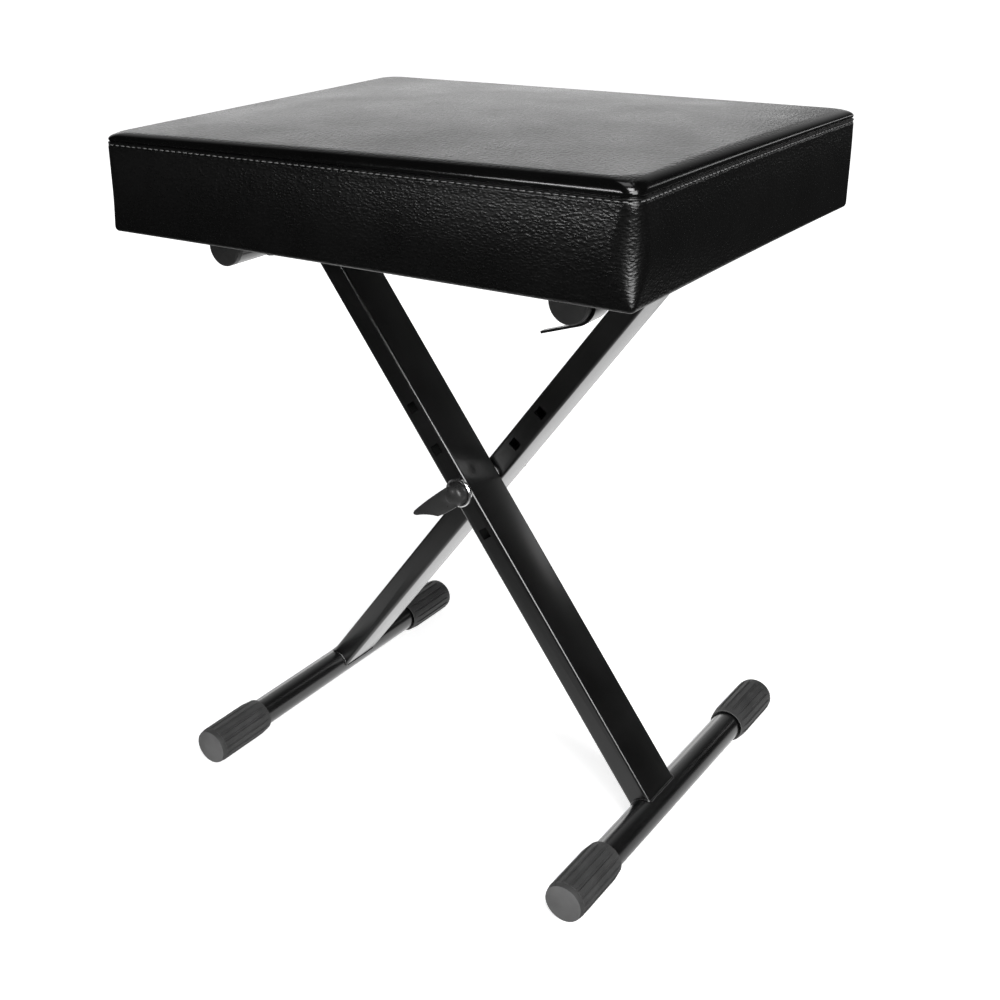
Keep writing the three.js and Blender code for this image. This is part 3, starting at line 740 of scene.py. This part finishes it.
def weld(tube, tube_radius, leg_side, towards, body):
    """Bead where a leg's end meets a round tube. Leg_side is 1 for the front leg and -1 for the rear
    one, and towards is 1 where the leg goes up from the tube."""
    low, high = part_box(tube)
    centre = (low + high) / 2
    leg_y = -leg_side * (LEG_SPACE + LEG_DEPTH) / 2
    axis = Vector((-leg_side * math.sin(LEAN), 0, math.cos(LEAN))) * towards
    across = Vector((math.cos(LEAN), 0, leg_side * math.sin(LEAN)))
    spots, radii = [], []
    for index, (u, v) in enumerate(leg_outline()):
        reach = math.sqrt(max(tube_radius ** 2 - u * u, 0)) + BEAD_RISE
        spots.append(Vector((centre.x, leg_y + v, centre.z)) + across * u + axis * reach)
        ripple = 0.12 * math.sin(index * 2.1) + 0.10 * math.sin(index * 0.37 + 1)
        radii.append(BEAD_RADIUS + ripple * MM)
    closed_bead("weld_" + tube, spots, radii, body)


weld("right_foot", FOOT_RADIUS, 1, 1, "front_frame")
weld("hinge_tube", TOP_RADIUS, 1, -1, "front_frame")
weld("left_foot", FOOT_RADIUS, -1, 1, "rear_frame")
weld("catch_tube", TOP_RADIUS, -1, -1, "rear_frame")


# Staples under the seat. The profile gives reach and height in millimetres, from leg to leg, and the
# section width and thickness.
STAPLE_PITCH, STAPLE_INSET = 32 * MM, 14.5 * MM
STAPLE_PROFILE = ((-5.2, 0.5), (-5.0, -0.35), (-4.4, -0.55), (4.4, -0.55), (5.0, -0.35), (5.2, 0.5))
STAPLE_SECTION = ((-0.6, 0.0), (0.6, 0.0), (0.6, 0.28), (-0.6, 0.28))
STAPLE_LEG = 4.8


def make_staples():
    points, faces = [], []
    path = lifted(plan(STAPLE_INSET, HEM_CORNER, 0), UNDERSIDE - 0.15 * MM)
    lengths = distances_along(path)
    count = round(lengths[-1] / STAPLE_PITCH)
    for number in range(count):
        k = point_before(lengths, (number + 0.5) * lengths[-1] / count)
        ahead = path[(k + 1) % len(path)]
        along = (ahead - path[k]).normalized()
        spot = path[k].lerp(ahead, 0.5)
        skew = math.sin(number * 2.7) * 0.25
        along = Vector((along.x * math.cos(skew) - along.y * math.sin(skew),
                        along.x * math.sin(skew) + along.y * math.cos(skew), 0))
        outward = Vector((along.y, -along.x, 0))
        start = len(points)
        for reach, height in STAPLE_PROFILE:
            on_crown = abs(reach) < STAPLE_LEG
            for wide, thick in STAPLE_SECTION:
                pull = thick if on_crown else 0
                slide = 0 if on_crown else -math.copysign(thick, reach)
                points.append(spot + (reach + slide) * MM * along + wide * MM * outward
                              + Vector((0, 0, (height + pull) * MM)))
        for row in range(len(STAPLE_PROFILE) - 1):
            for side in range(4):
                a = start + row * 4 + side
                b = start + row * 4 + (side + 1) % 4
                faces.append((a, b, b + 4, a + 4))
        faces.append((start + 3, start + 2, start + 1, start))
        end = len(points) - 4
        faces.append((end, end + 1, end + 2, end + 3))
    mesh_object("hem_staples", points, faces, [zinc_plate], "seat", smooth=False)


make_staples()


# Cloth under the board
CLOTH_INSET = 19.5 * MM
CLOTH_THICKNESS = 0.6 * MM
CLOTH_CLEARANCE = 0.05 * MM
CLOTH_CREASE = 0.3 * MM
CLOTH_SHARES = (0.03, 0.12, 0.25, 0.4, 0.54, 0.67, 0.78, 0.87, 0.93, 0.97, 0.99, 1.0)


def cloth_level(point):
    """Height of the cloth's lower face, with soft creases up towards the board. It stays above the
    underside, along which the catch tube slides as the legs fold."""
    crease = 0.6 * math.sin(point.x / (17 * MM) + 1.3 * math.sin(point.y / (41 * MM)))
    crease += 0.4 * math.sin((point.x + 1.6 * point.y) / (23 * MM))
    return UNDERSIDE + CLOTH_CLEARANCE + CLOTH_CREASE * (1 + crease) / 2


def make_dust_cloth():
    """The cloth, closed from its lower to its upper face."""
    edge = plan(CLOTH_INSET, HEM_CORNER, 0)
    thickness = Vector((0, 0, CLOTH_THICKNESS))
    lower = []
    for share in CLOTH_SHARES:
        ring = [p * share for p in edge]
        lower.append([Vector((p.x, p.y, cloth_level(p))) for p in ring])
    upper = [[p + thickness for p in ring] for ring in reversed(lower)]
    middle = Vector((0, 0, cloth_level(Vector((0, 0, 0)))))
    points, faces = closed_skin(lower + upper, middle, middle + thickness)
    made = mesh_object("dust_cloth", points, faces, [cloth_black], "seat")
    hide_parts("dust_cover")


make_dust_cloth()


# Studio
WHITE = (1, 1, 1, 1)
FLOOR_HALF, FLOOR_DROP = 14.0, 0.0005


def make_world():
    """White to the camera. Shiny surfaces mirror a bright patch at the back left, and matt ones get an
    even low light."""
    world = bpy.data.worlds.new("studio")
    world.use_nodes = True
    scene.world = world
    n = Nodes(world.node_tree)
    rays = n.add("ShaderNodeLightPath").outputs
    way = n.add("ShaderNodeTexCoord").outputs["Generated"]
    lit = n.add("ShaderNodeVectorMath", {0: way, 1: (-0.62, 0.76, 0.18)}, operation="DOT_PRODUCT")
    reflected = n.spread(lit.outputs["Value"], 0.55, 0.98, 0.012, 0.64)
    shiny = n.math("MAXIMUM", rays["Is Glossy Ray"], rays["Is Transmission Ray"])
    level = n.math("ADD", n.math("MULTIPLY", shiny, reflected),
                   n.math("MULTIPLY", n.math("SUBTRACT", 1.0, shiny), 0.14))
    seen = rays["Is Camera Ray"]
    strength = n.math("ADD", seen, n.math("MULTIPLY", n.math("SUBTRACT", 1.0, seen), level))
    back = n.add("ShaderNodeBackground", {"Color": WHITE, "Strength": strength})
    out = n.add("ShaderNodeOutputWorld")
    n.tree.links.new(back.outputs[0], out.inputs["Surface"])


def floor_material():
    """White to the camera with the bench's shadow, and in reflections a pool of light behind it."""
    made, n = material("studio_floor")
    rays = n.add("ShaderNodeLightPath").outputs
    place = n.position()
    far = n.add("ShaderNodeVectorMath", {0: place}, operation="LENGTH").outputs["Value"]
    seen = n.add("ShaderNodeEmission", {
        "Color": WHITE, "Strength": n.spread(far, 0.4, 1.2, 0.74, 1.0),
    })
    matt = n.add("ShaderNodeBsdfDiffuse", {"Color": grey(0.86)})
    bright = n.add("ShaderNodeAddShader")
    behind = n.add("ShaderNodeVectorMath", {0: place, 1: (-0.12, 0.40, 0)}, operation="SUBTRACT")
    reach = n.add("ShaderNodeVectorMath", {0: behind.outputs[0]}, operation="LENGTH").outputs["Value"]
    mirrored = n.add("ShaderNodeEmission", {
        "Color": WHITE, "Strength": n.math("POWER", n.spread(reach, 0.40, 1.0, 1.0, 0.24), 2.4),
    })
    direct = n.add("ShaderNodeMixShader", {0: rays["Is Camera Ray"]})
    both = n.add("ShaderNodeMixShader", {0: rays["Is Glossy Ray"]})
    out = n.add("ShaderNodeOutputMaterial")
    link = n.tree.links.new
    link(seen.outputs[0], bright.inputs[0])
    link(matt.outputs[0], bright.inputs[1])
    link(matt.outputs[0], direct.inputs[1])
    link(bright.outputs[0], direct.inputs[2])
    link(direct.outputs[0], both.inputs[1])
    link(mirrored.outputs[0], both.inputs[2])
    link(both.outputs[0], out.inputs["Surface"])
    return made


def make_floor():
    mesh = bpy.data.meshes.new("floor")
    corners = [(x * FLOOR_HALF, y * FLOOR_HALF, 0) for x, y in ((-1, -1), (1, -1), (1, 1), (-1, 1))]
    mesh.from_pydata(corners, [], [(0, 1, 2, 3)])
    mesh.materials.append(floor_material())
    floor = bpy.data.objects.new("floor", mesh)
    floor.location.z = -FLOOR_DROP
    scene.collection.objects.link(floor)


def softbox(name, place, target, width, height, power):
    """A rectangular lamp at a place, turned to its target, that the camera doesn't see."""
    data = bpy.data.lights.new(name, "AREA")
    data.shape = "RECTANGLE"
    data.size = width
    data.size_y = height
    data.energy = power
    lamp = bpy.data.objects.new(name, data)
    lamp.location = place
    way = Vector(target) - Vector(place)
    lamp.rotation_euler = way.to_track_quat("-Z", "Y").to_euler()
    lamp.visible_camera = False
    scene.collection.objects.link(lamp)


make_world()
make_floor()
softbox("key_front_right", (1.49, -1.75, 1.45), (0, 0, 0.40), 0.6, 0.6, 13)
softbox("corner_light", (1.25, -0.75, 0.90), (0.2, -0.16, 0.5), 0.65, 0.9, 16)
softbox("corner_top", (0.72, -0.68, 1.45), (0.2, -0.16, 0.5), 0.5, 0.5, 11)
softbox("front_left", (-0.35, -1.30, 0.73), (0.15, -0.18, 0.52), 0.45, 0.09, 2.6)
softbox("overhead", (0.10, -0.10, 2.6), (0, 0, 0.3), 0.9, 0.9, 5)
softbox("back_right", (0.76, 1.50, 0.66), (0.2, 0, 0.54), 0.5, 0.09, 0.35)
softbox("sweep_back_left", (-1.9, 2.5, 0.75), (0, 0, 0.5), 2.4, 0.9, 9)
